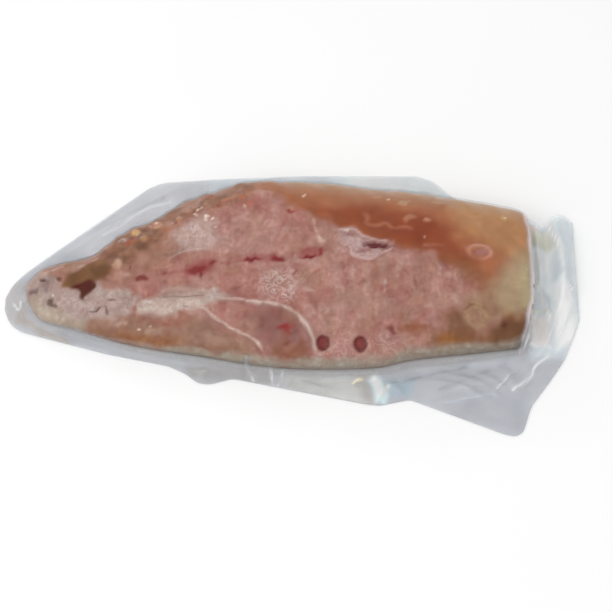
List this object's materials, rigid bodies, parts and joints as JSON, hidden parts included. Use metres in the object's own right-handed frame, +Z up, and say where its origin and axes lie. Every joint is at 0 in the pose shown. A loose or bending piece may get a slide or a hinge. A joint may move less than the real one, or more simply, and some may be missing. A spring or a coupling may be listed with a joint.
{
  "type": "fish fillet",
  "caption": "Fish fillet lying flat, tapered to the tail and cut square at the other end, sealed between thin clear pouch films with loose margins.",
  "frame": {"origin": "middle of the pouch's footprint, on the surface that it lies on", "axes": "+X from the fillet's tail to its square cut end, +Y towards its back edge, +Z up through its thickness"},
  "size_m": [0.276, 0.142, 0.0244],
  "materials": {
    "fish_flesh": "moist translucent flesh, frosted in places",
    "pouch_film": "clear glossy film, slightly hazy"
  },
  "bodies": {
    "root": {"fish_fillet": "fish_flesh", "pouch_upper_film": "pouch_film", "pouch_lower_film": "pouch_film"}
  },
  "joints": []
}
